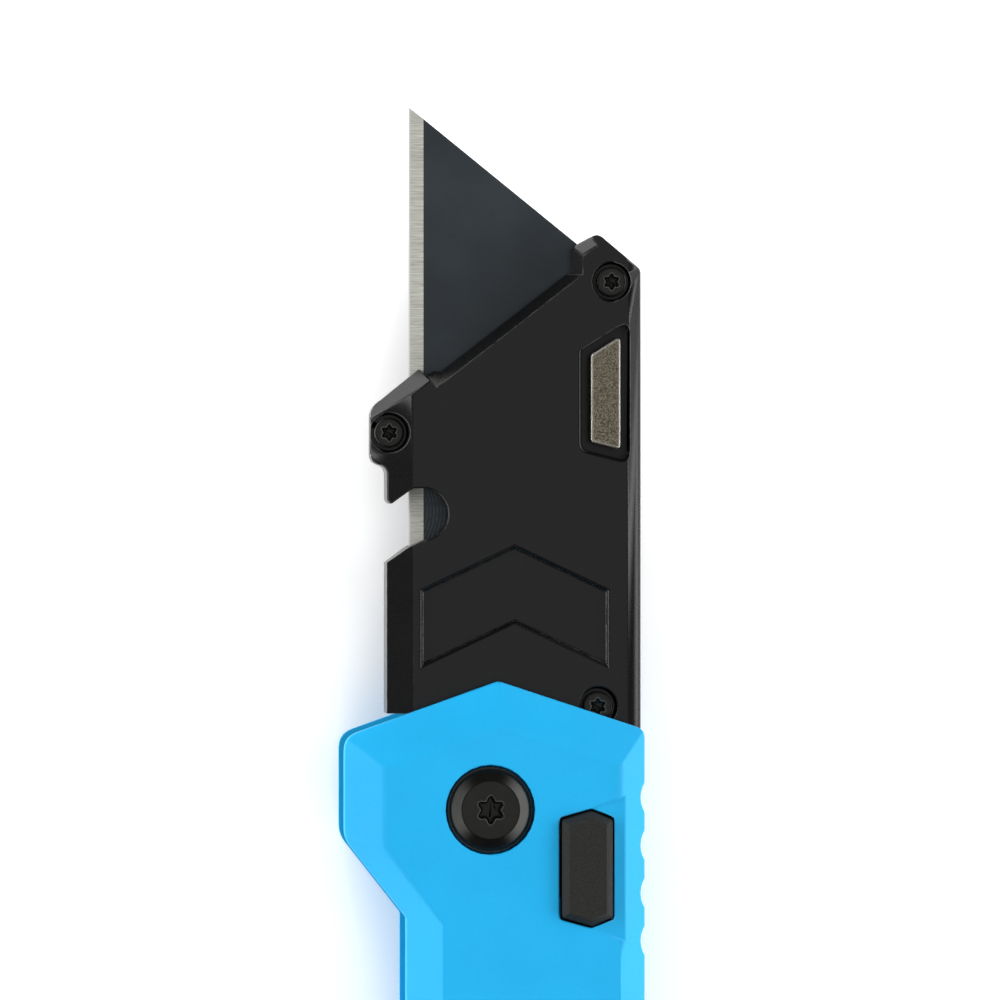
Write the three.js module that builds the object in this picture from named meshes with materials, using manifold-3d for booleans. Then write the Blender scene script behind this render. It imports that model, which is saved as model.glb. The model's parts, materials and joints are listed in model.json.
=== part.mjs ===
// Folding utility knife: a two-scale handle, a clamshell blade carrier that swings on a
// pivot screw, a replaceable trapezoid blade, a lock button and a blade release button.
//
// Millimetres. The knife lies on its back with the front scale up (+Z). +Y runs from the
// handle's butt to the blade's tip, and the blade's cutting edge faces -X. Every outline
// below is drawn around the pivot axis; the last lines move the whole knife so that the
// middle of the bottom of its bounding box is the origin.

import * as THREE from 'three';
import { mergeVertices } from 'three/addons/utils/BufferGeometryUtils.js';
import Module from 'manifold-3d';

const wasm = await Module();
wasm.setup();

// ---------------------------------------------------------------- driving dimensions

// Clearances
const seat = 0.05;               // between faces that are clamped together
const slip = 0.15;               // round a shank, a barrel or the blade
const stopGap = 0.1;
const springGap = 0.1;
const passGap = 0.25;            // between the turning tang and what stands beside it
const foldGap = 0.7;             // between the folded blade and the spacer
const bossGap = 0.85;            // between the folded hook boss and the spacer

// Blade: a standard trapezoid, 60 x 19 x 0.6
const bladeThickness = 0.6;
const bladeWidth = 19;
const bladeLength = 60;
const bladeOffset = 1.8;         // blade's middle beyond the pivot, towards the spine
const bladeEdgeX = bladeOffset - bladeWidth / 2;
const bladeBackX = bladeEdgeX + bladeWidth;
const bladeSlant = 15.36;        // how far each slanted end runs back from its tip
const bladeBevel = 1.5;
const bladeEdgeThickness = 0.08;
const bladeNotchSpacing = 8.5;
const bladeNotchWidth = 2.2;
const bladeNotchDepth = 1.8;

// Widths across the spine: both the blade's catch and the lock's stem have to fit
const tangRadius = 11.7;
const buttonY = -5.9;
const stemRadius = 0.8;
const stemReach = tangRadius + passGap + stemRadius;
const stemX = Math.sqrt(stemReach ** 2 - buttonY ** 2);
const stemToSpine = 4.45;
const bladeToSpine = 4.45;
const gripRight = Math.max(stemX + stemToSpine, bladeBackX + bladeToSpine);
const spineReveal = 0.1;         // scale beyond the carrier's spine
const carrierSpine = gripRight - spineReveal;

// Carrier outline. The blade ends just above the shoulder.
const shoulderY = 9.5;
const shoulderWall = 1.2;
const bladeLowY = shoulderY + shoulderWall;
const bladeTipY = bladeLowY + bladeLength;
const bladeReach = 26.4;        // tip beyond the corner of the mouth
const mouthY = bladeTipY - bladeReach;
const carrierLeft = bladeEdgeX - 2.35;
const bossLeft = carrierLeft - 1.58;
const bossLowY = mouthY - 9.6;
const bossHighY = mouthY - 3.85;
const mouthCorner = [bladeEdgeX + 1.12, mouthY];
const mouthStart = [mouthCorner[0] + 2, mouthY - 0.4];
const mouthEnd = [carrierSpine - 6.95, mouthY + 9.9];
const earTop = [carrierSpine - 4.55, mouthY + 13.55];
const earShoulder = [carrierSpine - 6.6, mouthY + 12.4];
const spineTopY = mouthY + 10;
const notchRadius = 2.6;
const notchCentre = [bladeEdgeX + 1.2, mouthY - 14.7];
const hookTip = [carrierLeft, notchCentre[1] + 0.95];
const hookRoot = [bladeEdgeX + 0.2, notchCentre[1] + 2.55];
const notchLip = [carrierLeft, notchCentre[1] - 4.9];
const notchThroat = [bladeEdgeX - 0.1, notchCentre[1] - 3.3];
const carrierLeftBevel = 2.6;
const carrierLeftSlope = 0.42;
const carrierRightBevel = 1.43;
const carrierRightDrop = 1.2;
const mouthBevel = 0.95;
const mouthDrop = 1.9;
const bossBevel = 1.5;
const bossDrop = 3.0;
const chevronHalfWidth = 9.3;
const chevronPointY = 26.2;
const chevronDrop = 4.4;
const chevronHeight = 7.35;
const chevronDepth = 0.5;

// Depth of the stack, measured from the blade's middle plane
const carrierHalf = 3.5;         // to a carrier face
const washerRoom = 0.5;          // between a carrier face and its scale
const scaleInner = carrierHalf + washerRoom;
const scaleThickness = 3.5;
const scaleOuter = scaleInner + scaleThickness;
const edgeDrop = 2.3;            // how far each scale's chamfers fall to the rim

// The tang's step that rests on the spacer when the knife is open
const stopY = -3.4;

// Handle outline
const gripLeft = bladeEdgeX - 0.6;
const bulgeWall = 2.81;          // scale beyond the tang
const bulgeLeft = -(tangRadius + bulgeWall);
const apex = [1.05, 12.8];
const bulgeTopLeftY = 7.25;
const bulgeTopRightY = 7.93;
const bulgeLowLeftY = -2.95;
const diagonalSlope = -1.277;    // fall of the edge from the bulge to the grip
const buttLength = 16.95;        // handle beyond the tip of the folded blade
const buttY = -(bladeTipY + buttLength);
const apexRadius = 1;
const bulgeCornerRadius = 2;
const bulgeLowRadius = 3;
const topRightRadius = 1.2;
const buttRadius = 4;
const leftBevel = 3.5;
const bulgeBevel = 3.96;
const diagonalBevel = 2.64;
const rightBevel = 2.65;
const topBevel = 4.15;
const buttBevel = 4;

// Finger grooves cut in the spine edge
const grooveCount = 4;
const grooveFirstY = 1.1;
const groovePitch = 4.8;
const grooveRadius = 2.6;
const grooveDepth = 0.45;

// Lanyard hole
const lanyardAt = [gripLeft + 4.85, buttY + 7];
const lanyardRadius = 2.2;

// Pivot
const pivotBarrelRadius = 2.5;
const pivotHeadRadius = 4.1;
const pivotFlatRadius = 3.0;
const pivotSinkRadius = 4.5;
const pivotSinkDepth = 1.6;
const pivotShankRadius = 1.3;
const pivotBevelDrop = 0.5;
const pivotDriveRadius = 1.45;
const pivotDriveDepth = 1.1;
const washerRadius = 8;
const washerThickness = washerRoom - 2 * seat;

// Spine spacer: a thin wall beside the carrier, then a block beyond it
const spineInset = 0.6;
const spineOuter = gripRight - spineInset;
const spineInner = Math.max(-bossLeft + bossGap, stemX + stemRadius + passGap);
const blockInner = -bladeEdgeX + foldGap;
const blockTopY = -(mouthY + 2.3);
const blockBottomInset = 1.2;

// Lock
const buttonCentre = [stemX - 1.58, buttonY];
const buttonHalfWidth = 2.53;
const buttonShoulder = 4.85;     // centre to the corners of the six-sided cap
const buttonRidge = 5.75;        // centre to its two points
const buttonRidgeOffset = 0.45;
const buttonProud = 0.9;
const buttonChamfer = 0.65;
const buttonChamferDrop = 0.6;
const buttonGap = 0.25;
const buttonTravel = 1.7;
const flangeThickness = 0.75;
const flangeReach = 0.8;
const flangeCeiling = 0.95;      // scale left above the flange
const stemAt = [stemX, buttonY];
const scoopSlope = 0.13;
const scoopRise = 1.1;
const lockAngle = -31;           // polar angle of the spring's tab, degrees
const tabInner = tangRadius - 1.5;
const tabHalfWidth = 0.75;
const tabEngagement = 1.4;
const lockSpringThickness = 0.6;
const lockTurn = THREE.MathUtils.degToRad(lockAngle);
const tabLeftX = tabInner * Math.cos(lockTurn) + tabHalfWidth * Math.sin(lockTurn);
const lockSpringLeft = tabLeftX - slip;
const lockSpringRight = stemX + 1.1;
const lockSpringX = (lockSpringLeft + lockSpringRight) / 2;
const lockSpringTopY = -3.6;
const lockSpringLength = 38.4;
const lockSpringRootY = lockSpringTopY - lockSpringLength;
const lockSpringJogY = lockSpringRootY + 9;
const lockSpringJog = 0.9;       // its root lies deeper, under the screw's head
const lockScrewY = lockSpringRootY + 3.5;

// Screws
const handleScrewX = (blockInner + gripRight - rightBevel) / 2;
const handleScrewYs = [blockTopY - 4, (blockTopY - 4 + buttY + 7.1) / 2, buttY + 7.1];
const handleScrewHead = 1.95;
const handleScrewShank = 1.2;
const handleSinkRadius = 2.2;
const handleSinkDepth = 1.4;
const handleDriveRadius = 1.1;
const screwTipWall = 0.9;        // scale left under a handle screw
const smallHead = 1.9;
const smallShank = 1.1;
const smallHeadThickness = 0.8;
const smallDriveRadius = 1.0;

// Belt clip
const clipX = 4.2;
const clipWidth = 9;
const clipThickness = 1.0;
const clipReach = 2.1;           // gap between its arm and the scale
const clipEndY = -8;
const clipRootY = buttY + 2.7;
const clipScrewYs = [clipRootY + 11, clipRootY + 4];

// Carrier screws
const carrierScrews = [
  { name: 'carrier_screw_ear', at: [carrierSpine - 3.05, spineTopY - 1.3], sink: 1.4 },
  { name: 'carrier_screw_hook', at: [bossLeft + 1.83, (bossLowY + bossHighY) / 2 + 0.2], sink: 2.3 },
  { name: 'carrier_screw_tang', at: [carrierSpine - 4.45, shoulderY + 0.7], sink: 1.4 },
];
const carrierScrewHead = 1.5;
const carrierScrewHeadThickness = 1.15;
const carrierScrewShank = 0.8;
const carrierScrewWall = 0.5;    // carrier left under a screw
const carrierSinkRadius = 1.95;
const carrierDriveRadius = 0.88;

// Blade release
const plateLeft = carrierSpine - 5.15;
const plateRight = carrierSpine - 2.15;
const plateTopY = mouthY + 3.25;
const plateTopFall = 1.9;        // how far its top edge falls towards the blade
const plateBottomY = mouthY - 8.2;
const plateBottomRise = 0.75;
const plateHeight = 1.3;
const plateSink = 0.2;           // its top under the carrier's face
const recessGap = 0.95;          // round the plate, for a fingertip
const releaseTravel = 1.0;
const releaseStemRadius = 0.7;
const releaseStemAt = [plateRight - 1.05, plateBottomY + 4.5];
const toothY = bladeLowY + (bladeLength + bladeNotchSpacing) / 2;
const catchThickness = 0.5;
const catchTop = -(bladeThickness / 2 + 0.5);
const catchX = [bladeBackX - 1.6, plateRight - 0.05];
const catchY = [shoulderY + 8.7, toothY + 2.7];
const catchScrewAt = [bladeBackX + 0.4, catchY[0] + 3.1];
const catchScrewHead = 1.3;
const catchScrewHeadThickness = 0.6;
const catchScrewShank = 0.7;
const catchDriveRadius = 0.7;

const steps = 28;                // sides of a turned piece

// ---------------------------------------------------------------- materials

const paint = { color: 0x2ab7f7, roughness: 0.55, metalness: 0.0 };
const coat = { color: 0x252525, roughness: 0.5, metalness: 0.2 };
const blackSteel = { color: 0x2b2b2a, roughness: 0.4, metalness: 0.8 };
const bladeSteel = { color: 0x34383b, roughness: 0.35, metalness: 0.9 };
const nickel = { color: 0x7b7668, roughness: 0.45, metalness: 0.9 };
const springSteel = { color: 0x8d9093, roughness: 0.35, metalness: 0.9 };
const plastic = { color: 0x3a3a38, roughness: 0.7, metalness: 0.0 };
const bronze = { color: 0x9a7b4a, roughness: 0.4, metalness: 0.8 };

// ---------------------------------------------------------------- geometry helpers

function toSolid(geometry) {
  geometry.deleteAttribute('normal');
  geometry.deleteAttribute('uv');
  const merged = mergeVertices(geometry, 1e-5);
  return new wasm.Manifold(new wasm.Mesh({
    numProp: 3,
    vertProperties: new Float32Array(merged.attributes.position.array),
    triVerts: new Uint32Array(merged.index.array),
  }));
}

const knife = new THREE.Group();

function addPiece(name, solid, look) {
  const mesh = solid.getMesh();
  const geometry = new THREE.BufferGeometry();
  geometry.setAttribute('position', new THREE.BufferAttribute(mesh.vertProperties, 3));
  geometry.setIndex(new THREE.BufferAttribute(mesh.triVerts, 1));
  geometry.computeVertexNormals();
  const piece = new THREE.Mesh(geometry, new THREE.MeshStandardMaterial(look));
  piece.name = name;
  knife.add(piece);
  return piece;
}

// An outline through corners [x, y] or [x, y, radius]; a corner with a radius is rounded.
function outline(corners) {
  const shape = new THREE.Shape();
  const count = corners.length;
  corners.forEach(([x, y, radius = 0], i) => {
    const here = new THREE.Vector2(x, y);
    const last = new THREE.Vector2(...corners[(i + count - 1) % count].slice(0, 2));
    const next = new THREE.Vector2(...corners[(i + 1) % count].slice(0, 2));
    const back = last.sub(here).normalize();
    const on = next.sub(here).normalize();
    const half = back.angleTo(on) / 2;
    const reach = radius ? radius / Math.tan(half) : 0;
    const start = here.clone().addScaledVector(back, reach);
    const end = here.clone().addScaledVector(on, reach);
    if (i === 0) {
      shape.moveTo(start.x, start.y);
    } else {
      shape.lineTo(start.x, start.y);
    }
    if (radius) {
      shape.quadraticCurveTo(here.x, here.y, end.x, end.y);
    }
  });
  return shape;
}

// A flat plate of the given outline between two heights.
function plate(shape, z0, z1, curveSegments = 5) {
  const low = Math.min(z0, z1);
  const depth = Math.abs(z1 - z0);
  const geometry = new THREE.ExtrudeGeometry(shape, { depth, bevelEnabled: false, curveSegments });
  geometry.translate(0, 0, low);
  return toSolid(geometry);
}

// A side profile of points [y, z], drawn across X from x0 to x1.
function strip(points, x0, x1) {
  const shape = new THREE.Shape(points.map(([y, z]) => new THREE.Vector2(y, z)));
  const geometry = new THREE.ExtrudeGeometry(shape, { depth: x1 - x0, bevelEnabled: false });
  const axes = new THREE.Matrix4().makeBasis(
    new THREE.Vector3(0, 1, 0), new THREE.Vector3(0, 0, 1), new THREE.Vector3(1, 0, 0));
  geometry.applyMatrix4(axes);
  geometry.translate(x0, 0, 0);
  return toSolid(geometry);
}

function box(x0, x1, y0, y1, z0, z1) {
  const geometry = new THREE.BoxGeometry(x1 - x0, y1 - y0, z1 - z0);
  geometry.translate((x0 + x1) / 2, (y0 + y1) / 2, (z0 + z1) / 2);
  return toSolid(geometry);
}

// A turned piece standing on [x, y]: profile points are [radius, z].
function turned(points, [x, y], sides = steps) {
  const profile = points.map(([radius, z]) => new THREE.Vector2(radius, z));
  const geometry = new THREE.LatheGeometry(profile, sides);
  geometry.rotateX(Math.PI / 2);
  geometry.translate(x, y, 0);
  return toSolid(geometry);
}

function rod(radius, z0, z1, at, sides = steps) {
  const low = Math.min(z0, z1);
  const high = Math.max(z0, z1);
  return turned([[0, low], [radius, low], [radius, high], [0, high]], at, sides);
}

// The wedge that a chamfer takes off. The outline runs from start to end with the piece on
// its left. The chamfer begins `width` inside it at height `top` and falls by `drop`.
function chamferCutter(start, end, width, drop, top, before = 40, after = 40) {
  const side = Math.sign(top);
  const outside = 6;
  const over = 0.4;
  const slope = drop / width;
  const height = (inside) => top + side * (inside - width) * slope;
  const section = new THREE.Shape([
    new THREE.Vector2(-outside, height(-outside)),
    new THREE.Vector2(width + over, height(width + over)),
    new THREE.Vector2(-outside, height(width + over)),
  ]);
  const from = new THREE.Vector2(...start);
  const along = new THREE.Vector2(...end).sub(from);
  const length = along.length();
  along.normalize();
  const geometry = new THREE.ExtrudeGeometry(section, {
    depth: length + before + after, bevelEnabled: false });
  geometry.translate(0, 0, -before);
  geometry.applyMatrix4(new THREE.Matrix4().makeBasis(
    new THREE.Vector3(-along.y, along.x, 0),
    new THREE.Vector3(0, 0, 1),
    new THREE.Vector3(along.x, along.y, 0)));
  geometry.translate(from.x, from.y, 0);
  return toSolid(geometry);
}

function cutAll(solid, cutters) {
  return cutters.reduce((left, cutter) => left.subtract(cutter), solid);
}

// Six-lobed driver socket, as a plate to cut out of a screw's head.
function driveSocket(radius, z0, z1, [x, y]) {
  const shape = new THREE.Shape();
  const points = 24;
  for (let i = 0; i < points; i += 1) {
    const angle = (i / points) * 2 * Math.PI;
    const reach = radius * (0.86 + 0.14 * Math.cos(6 * angle));
    const px = x + reach * Math.sin(angle);
    const py = y + reach * Math.cos(angle);
    if (i === 0) {
      shape.moveTo(px, py);
    } else {
      shape.lineTo(px, py);
    }
  }
  return plate(shape, z0, z1);
}

// ---------------------------------------------------------------- handle scales

function scaleBlank(side) {
  const top = side * scaleOuter;
  const inner = side * scaleInner;
  const gripFaceX = gripLeft + leftBevel;
  const diagonalEndY = bulgeLowLeftY + (gripFaceX - bulgeLeft) * diagonalSlope;
  const bulgeTopLeft = [bulgeLeft, bulgeTopLeftY];
  const bulgeLowLeft = [bulgeLeft, bulgeLowLeftY];
  const diagonalEnd = [gripFaceX, diagonalEndY];
  const bulgeTopRight = [gripRight, bulgeTopRightY];
  const bulgeLowRight = [gripRight, diagonalEndY];
  const bulge = cutAll(
    plate(outline([
      [...apex, apexRadius],
      [...bulgeTopLeft, bulgeCornerRadius],
      [...bulgeLowLeft, bulgeLowRadius],
      diagonalEnd,
      bulgeLowRight,
      [...bulgeTopRight, topRightRadius],
    ]), inner, top),
    [
      chamferCutter(apex, bulgeTopLeft, topBevel, edgeDrop, top),
      chamferCutter(bulgeTopLeft, bulgeLowLeft, bulgeBevel, edgeDrop, top),
      chamferCutter(bulgeLowLeft, diagonalEnd, diagonalBevel, edgeDrop, top),
      chamferCutter(bulgeLowRight, bulgeTopRight, rightBevel, edgeDrop, top),
      chamferCutter(bulgeTopRight, apex, topBevel, edgeDrop, top),
    ]);
  const gripTopY = bulgeTopLeftY - topBevel;
  const grip = cutAll(
    plate(outline([
      [gripLeft, gripTopY],
      [gripLeft, buttY, buttRadius],
      [gripRight, buttY, buttRadius],
      [gripRight, gripTopY],
    ]), inner, top),
    [
      chamferCutter([gripLeft, gripTopY], [gripLeft, buttY], leftBevel, edgeDrop, top),
      chamferCutter([gripLeft, buttY], [gripRight, buttY], buttBevel, edgeDrop, top),
      chamferCutter([gripRight, buttY], [gripRight, gripTopY], rightBevel, edgeDrop, top),
    ]);
  const grooves = [];
  for (let i = 0; i < grooveCount; i += 1) {
    const at = [gripRight - grooveDepth + grooveRadius, grooveFirstY - i * groovePitch];
    grooves.push(rod(grooveRadius, inner - side, top + side, at));
  }
  const lanyard = rod(lanyardRadius, inner - side, top + side, lanyardAt);
  const pivotHole = rod(pivotBarrelRadius + slip, inner - side, top + side, [0, 0]);
  const pivotSink = rod(pivotSinkRadius, top - side * pivotSinkDepth, top + side, [0, 0]);
  return cutAll(bulge.add(grip), [...grooves, lanyard, pivotHole, pivotSink]);
}

// The button's six-sided outline, grown by `grow` all round and by `reach` at both ends.
function buttonOutline(grow, reach = 0) {
  const [x, y] = buttonCentre;
  const half = buttonHalfWidth + grow;
  const shoulder = buttonShoulder + grow + reach;
  const ridge = buttonRidge + grow + reach;
  const ridgeX = x + buttonRidgeOffset;
  const corner = 0.4;
  return outline([
    [ridgeX, y + ridge],
    [x - half, y + shoulder, corner],
    [x - half, y - shoulder, corner],
    [ridgeX, y - ridge],
    [x + half, y - shoulder, corner],
    [x + half, y + shoulder, corner],
  ]);
}

// The shallow thumb scoop that falls from the middle of the button to the spine's chamfer.
function scoopCutter() {
  const ridgeX = buttonCentre[0] + buttonRidgeOffset;
  const ridgeY = buttonRidge + buttonGap;
  const faceEnd = gripRight - rightBevel;
  const rise = scoopRise / (faceEnd - ridgeX);
  const farX = gripRight + 1;
  const farHalf = ridgeY + (farX - ridgeX) * rise;
  const [, y] = buttonCentre;
  const region = plate(outline([
    [ridgeX, y + ridgeY], [ridgeX, y - ridgeY], [farX, y - farHalf], [farX, y + farHalf],
  ]), scaleInner, scaleOuter + 1);
  const fall = (farX - ridgeX) * scoopSlope;
  const section = new THREE.Shape([
    new THREE.Vector2(ridgeX, scaleOuter),
    new THREE.Vector2(farX, scaleOuter - fall),
    new THREE.Vector2(farX, scaleOuter + 1),
    new THREE.Vector2(ridgeX, scaleOuter + 1),
  ]);
  const length = 2 * farHalf + 1;
  const wedge = new THREE.ExtrudeGeometry(section, { depth: length, bevelEnabled: false });
  wedge.rotateX(Math.PI / 2);
  wedge.translate(0, y + length / 2, 0);
  return region.intersect(toSolid(wedge));
}

const flangeTop = scaleOuter - flangeCeiling - seat;
const flangeBottom = flangeTop - flangeThickness;
const lockSpringTop = -scaleInner - springGap;
const lockSpringBottom = lockSpringTop - lockSpringThickness;
const rootTop = lockSpringTop - lockSpringJog;
const rootBottom = rootTop - lockSpringThickness;
const screwTipZ = -(scaleOuter - screwTipWall);

function handleScrewHoles(z0, z1) {
  return handleScrewYs.map((y) => rod(handleScrewShank + slip, z0, z1, [handleScrewX, y], 20));
}

function frontScale() {
  const through = [scaleInner - 1, scaleOuter + 1];
  const sinks = handleScrewYs.map((y) => rod(
    handleSinkRadius, scaleOuter - handleSinkDepth, scaleOuter + 1, [handleScrewX, y]));
  return cutAll(scaleBlank(1), [
    plate(buttonOutline(buttonGap), ...through),
    plate(buttonOutline(buttonGap, flangeReach), scaleInner - 1, scaleOuter - flangeCeiling),
    scoopCutter(),
    ...handleScrewHoles(...through),
    ...sinks,
  ]);
}

function backScale() {
  const [x0, x1] = [lockSpringLeft - slip, lockSpringRight + slip];
  const floor = lockSpringBottom - buttonTravel - springGap;
  const clipHoles = clipScrewYs.map((y) => rod(
    smallShank + slip, -scaleInner - 0.5, -scaleOuter - 1, [clipX, y], 20));
  return cutAll(scaleBlank(-1), [
    box(x0, x1, lockSpringJogY + 0.5, lockSpringTopY + 0.3, floor, -scaleInner + 1),
    box(x0, x1, lockSpringRootY - 0.3, lockSpringJogY + 1, rootBottom - seat, -scaleInner + 1),
    rod(smallShank + slip, screwTipZ - slip, -scaleInner, [lockSpringX, lockScrewY], 20),
    ...handleScrewHoles(screwTipZ - slip, -scaleInner + 1),
    ...clipHoles,
  ]);
}

// ---------------------------------------------------------------- spine and fasteners

function spineSpacer() {
  const top = stopY - stopGap;
  const bottom = buttY + blockBottomInset;
  const shape = outline([
    [spineInner, top],
    [spineInner, blockTopY + 1.2, 0.8],
    [blockInner, blockTopY - 1.2, 0.8],
    [blockInner, bottom],
    [spineOuter, bottom, 3],
    [spineOuter, top],
  ]);
  const half = scaleInner - seat;
  return cutAll(plate(shape, -half, half), handleScrewHoles(-half - 1, half + 1));
}

// Pan head with a driver socket on a shank that points down.
function screw(at, headRadius, shankRadius, headTop, headBottom, tip, driveRadius, flatRadius) {
  const rim = headRadius - flatRadius;
  const body = turned([
    [0, tip], [shankRadius, tip], [shankRadius, headBottom], [headRadius, headBottom],
    [headRadius, headTop - rim * 0.45], [flatRadius, headTop], [0, headTop],
  ], at, 24);
  const depth = (headTop - headBottom) * 0.7;
  return body.subtract(driveSocket(driveRadius, headTop - depth, headTop + 1, at));
}

function pivotNut() {
  const floor = scaleOuter - pivotSinkDepth + seat;
  const barrelEnd = floor - 0.3;
  const face = -(scaleOuter + seat);
  const shell = turned([
    [0, face], [pivotFlatRadius, face], [pivotHeadRadius, face + pivotBevelDrop],
    [pivotHeadRadius, -floor], [pivotBarrelRadius, -floor],
    [pivotBarrelRadius, barrelEnd], [0, barrelEnd],
  ], [0, 0]);
  const bore = rod(pivotShankRadius + slip, -scaleInner + 0.5, floor + 1, [0, 0], 20);
  const socket = driveSocket(pivotDriveRadius, face - 1, face + pivotDriveDepth, [0, 0]);
  return cutAll(shell, [bore, socket]);
}

function pivotScrew() {
  const headBottom = scaleOuter - pivotSinkDepth + seat;
  const face = scaleOuter + seat;
  const body = turned([
    [0, -scaleInner + 1.5], [pivotShankRadius, -scaleInner + 1.5],
    [pivotShankRadius, headBottom], [pivotHeadRadius, headBottom],
    [pivotHeadRadius, face - pivotBevelDrop], [pivotFlatRadius, face], [0, face],
  ], [0, 0], 40);
  return body.subtract(driveSocket(pivotDriveRadius, face - pivotDriveDepth, face + 1, [0, 0]));
}

function washer(side) {
  const middle = side * (carrierHalf + scaleInner) / 2;
  const [low, high] = [middle - washerThickness / 2, middle + washerThickness / 2];
  const inside = pivotBarrelRadius + slip;
  return turned([
    [inside, low], [washerRadius, low], [washerRadius, high], [inside, high], [inside, low],
  ], [0, 0]);
}

// ---------------------------------------------------------------- lock

// A chamfered six-sided cap, a flange that keeps it in its window, and a stem to the spring.
function lockButton() {
  const [x, y] = buttonCentre;
  const top = scaleOuter + buttonProud;
  const cap = plate(buttonOutline(0), flangeBottom, top);
  const flange = plate(buttonOutline(0, flangeReach), flangeBottom, flangeTop);
  const half = buttonHalfWidth;
  const corners = [
    [x + buttonRidgeOffset, y + buttonRidge], [x - half, y + buttonShoulder],
    [x - half, y - buttonShoulder], [x + buttonRidgeOffset, y - buttonRidge],
    [x + half, y - buttonShoulder], [x + half, y + buttonShoulder],
  ];
  const shaped = cutAll(cap, corners.map((corner, i) => chamferCutter(
    corner, corners[(i + 1) % corners.length], buttonChamfer, buttonChamferDrop, top)));
  const stem = rod(stemRadius, lockSpringTop + springGap, flangeBottom + 0.2, stemAt, 16);
  return shaped.add(flange).add(stem);
}

// A radial block at a polar angle, for the spring's tab and the notches it drops into.
function radialBlock(angle, r0, r1, halfWidth, z0, z1) {
  const geometry = new THREE.BoxGeometry(r1 - r0, 2 * halfWidth, z1 - z0);
  geometry.translate((r0 + r1) / 2, 0, (z0 + z1) / 2);
  geometry.rotateZ(THREE.MathUtils.degToRad(angle));
  return toSolid(geometry);
}

function lockSpring() {
  const leaf = strip([
    [lockSpringTopY, lockSpringTop],
    [lockSpringJogY, lockSpringTop],
    [lockSpringJogY - lockSpringJog, rootTop],
    [lockSpringRootY, rootTop],
    [lockSpringRootY, rootBottom],
    [lockSpringJogY - lockSpringJog, rootBottom],
    [lockSpringJogY, lockSpringBottom],
    [lockSpringTopY, lockSpringBottom],
  ], lockSpringLeft, lockSpringRight);
  const tab = radialBlock(lockAngle, tabInner, tangRadius - slip, tabHalfWidth,
    lockSpringBottom, -carrierHalf + tabEngagement);
  const hole = rod(smallShank + slip, rootBottom - 1, rootTop + 1, [lockSpringX, lockScrewY], 20);
  return leaf.add(tab).subtract(hole);
}

// ---------------------------------------------------------------- carrier

function carrierOutline() {
  const shape = new THREE.Shape();
  const startAngle = Math.asin(stopY / tangRadius);
  const endAngle = Math.PI - Math.asin(shoulderY / tangRadius);
  shape.moveTo(...notchLip);
  shape.lineTo(carrierLeft, shoulderY);
  shape.absarc(0, 0, tangRadius, endAngle, startAngle, false);
  shape.lineTo(carrierSpine, stopY);
  shape.lineTo(carrierSpine, spineTopY - 0.4);
  shape.quadraticCurveTo(carrierSpine, spineTopY, carrierSpine - 0.35, spineTopY + 0.25);
  shape.lineTo(earTop[0] + 0.5, earTop[1] - 0.35);
  shape.quadraticCurveTo(...earTop, earTop[0] - 0.5, earTop[1] - 0.3);
  shape.lineTo(...earShoulder);
  shape.lineTo(mouthEnd[0], earShoulder[1] - 0.5);
  shape.lineTo(...mouthEnd);
  shape.lineTo(...mouthStart);
  shape.lineTo(...mouthCorner);
  shape.lineTo(bossLeft + 1.1, bossHighY + 0.65);
  shape.quadraticCurveTo(bossLeft, bossHighY, bossLeft, bossHighY - 1.1);
  shape.lineTo(bossLeft, bossLowY + 0.9);
  shape.quadraticCurveTo(bossLeft, bossLowY, carrierLeft - 0.6, bossLowY - 0.2);
  shape.quadraticCurveTo(carrierLeft, bossLowY - 0.5, carrierLeft, bossLowY - 1.2);
  shape.lineTo(hookTip[0], hookTip[1] + 0.4);
  shape.lineTo(hookTip[0] + 0.4, hookTip[1]);
  shape.lineTo(...hookRoot);
  shape.absarc(...notchCentre, notchRadius, Math.PI * 0.47, -Math.PI * 0.47, true);
  shape.lineTo(...notchThroat);
  shape.closePath();
  return shape;
}

function bladeOutline(grow, extraTop = 0) {
  const low = bladeLowY;
  const rise = grow * Math.hypot(bladeWidth, bladeSlant) / bladeWidth;
  const fall = grow * bladeSlant / bladeWidth;
  return outline([
    [bladeEdgeX - grow, low - rise - fall],
    [bladeBackX + grow, low + bladeSlant - rise + fall],
    [bladeBackX + grow, bladeTipY - bladeSlant + rise + extraTop],
    [bladeEdgeX - grow, bladeTipY + rise + extraTop],
  ]);
}

function carrierBlank(side) {
  const top = side * carrierHalf;
  const bladePocket = bladeThickness / 2 + slip;
  return cutAll(plate(carrierOutline(), side * seat, top, 10), [
    chamferCutter([carrierLeft, spineTopY], [carrierLeft, shoulderY],
      carrierLeftBevel, carrierLeftBevel * carrierLeftSlope, top),
    chamferCutter([carrierSpine, stopY], [carrierSpine, spineTopY],
      carrierRightBevel, carrierRightDrop, top),
    chamferCutter(mouthCorner, [bossLeft + 1.1, bossHighY + 0.65], bossBevel, bossDrop, top, 0, 4),
    chamferCutter(mouthEnd, mouthStart, mouthBevel, mouthDrop, top, 0, 1.4),
    chamferCutter([mouthEnd[0], earShoulder[1]], mouthEnd, mouthBevel, mouthDrop, top, 0, 0.5),
    chamferCutter([earTop[0] - 0.5, earTop[1] - 0.3], earShoulder, 1.1, mouthDrop, top, 0, 0.4),
    rod(pivotBarrelRadius + slip, 0, top + side, [0, 0]),
    plate(bladeOutline(slip, 5), side * -1, side * bladePocket),
  ]);
}

const recessFloor = carrierHalf - plateSink - plateHeight - releaseTravel - seat;

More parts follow.
